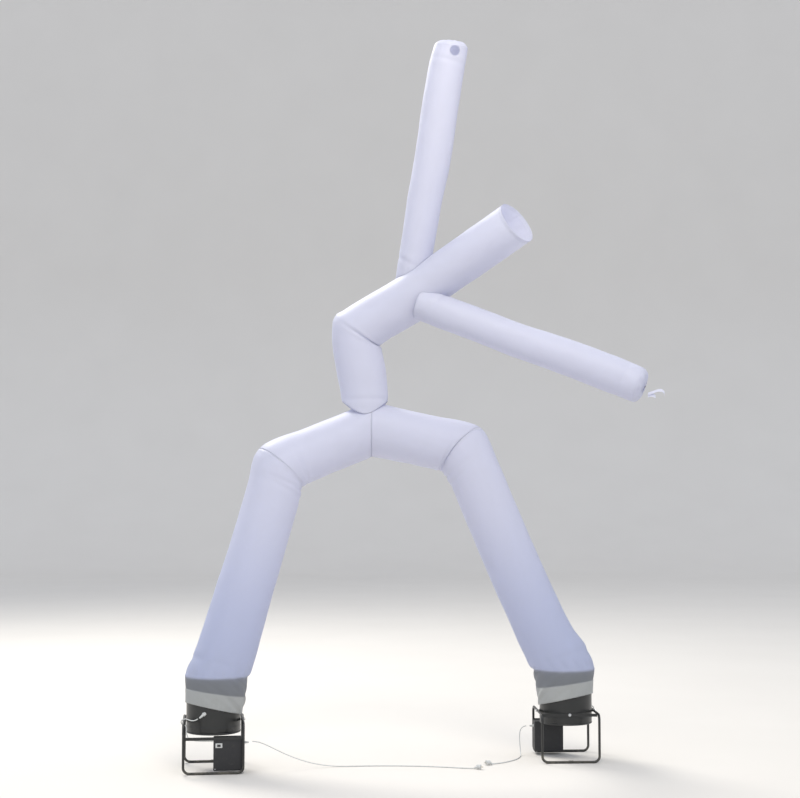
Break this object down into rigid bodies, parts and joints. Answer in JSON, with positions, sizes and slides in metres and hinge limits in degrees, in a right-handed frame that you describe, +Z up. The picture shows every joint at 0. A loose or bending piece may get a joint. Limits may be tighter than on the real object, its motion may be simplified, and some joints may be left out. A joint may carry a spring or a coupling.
{
  "type": "inflatable air dancer with two blowers",
  "caption": "White sewn-nylon tube figure with two splayed legs, a bent body and two raised arms, held up by air, its leg cuffs pulled over the drums of two framed fan blowers.",
  "frame": {"origin": "On the ground, under the middle of the bounding box of everything but the mains leads and plugs.", "axes": "+Z up; +X from the left blower to the right one as the viewer sees them; +Y away from the viewer."},
  "size_m": [3.76, 1.0986, 5.7803],
  "materials": {
    "nylon": "thin semi-glossy ripstop nylon, a little light passes through it",
    "housing": "satin black powder coat",
    "box": "moulded black plastic with rounded edges",
    "bolt": "bright zinc-plated bolt heads",
    "plate": "light grey moulded plate",
    "cable": "light grey flexible cable sheath"
  },
  "bodies": {
    "root": {"leg_left": "nylon", "leg_right": "nylon", "thigh_left": "nylon", "thigh_right": "nylon", "body": "nylon", "arm_left": "nylon", "arm_left_end": "nylon", "arm_right": "nylon", "arm_right_end": "nylon", "streamer_long": "nylon", "streamer_short": "nylon", "drum_left": "housing", "frame_left": "housing", "upper_strap_left": "housing", "lower_strap_left": "housing", "control_box_left": "box", "side_spacer_left_a": "housing", "side_spacer_left_b": "housing", "strap_bolt_left": "bolt", "side_bolt_left_a": "bolt", "side_bolt_left_b": "bolt", "switch_plate_left": "plate", "cable_gland_left": "cable", "motor_cable_left": "cable", "strain_relief_left": "cable", "lead_left": "cable", "plug_left": "cable", "drum_right": "housing", "frame_right": "housing", "upper_strap_right": "housing", "lower_strap_right": "housing", "control_box_right": "box", "side_spacer_right_a": "housing", "side_spacer_right_b": "housing", "strap_bolt_right": "bolt", "side_bolt_right_a": "bolt", "side_bolt_right_b": "bolt", "switch_plate_right": "plate", "cable_gland_right": "cable", "motor_cable_right": "cable", "strain_relief_right": "cable", "lead_right": "cable", "plug_right": "cable"}
  },
  "joints": []
}
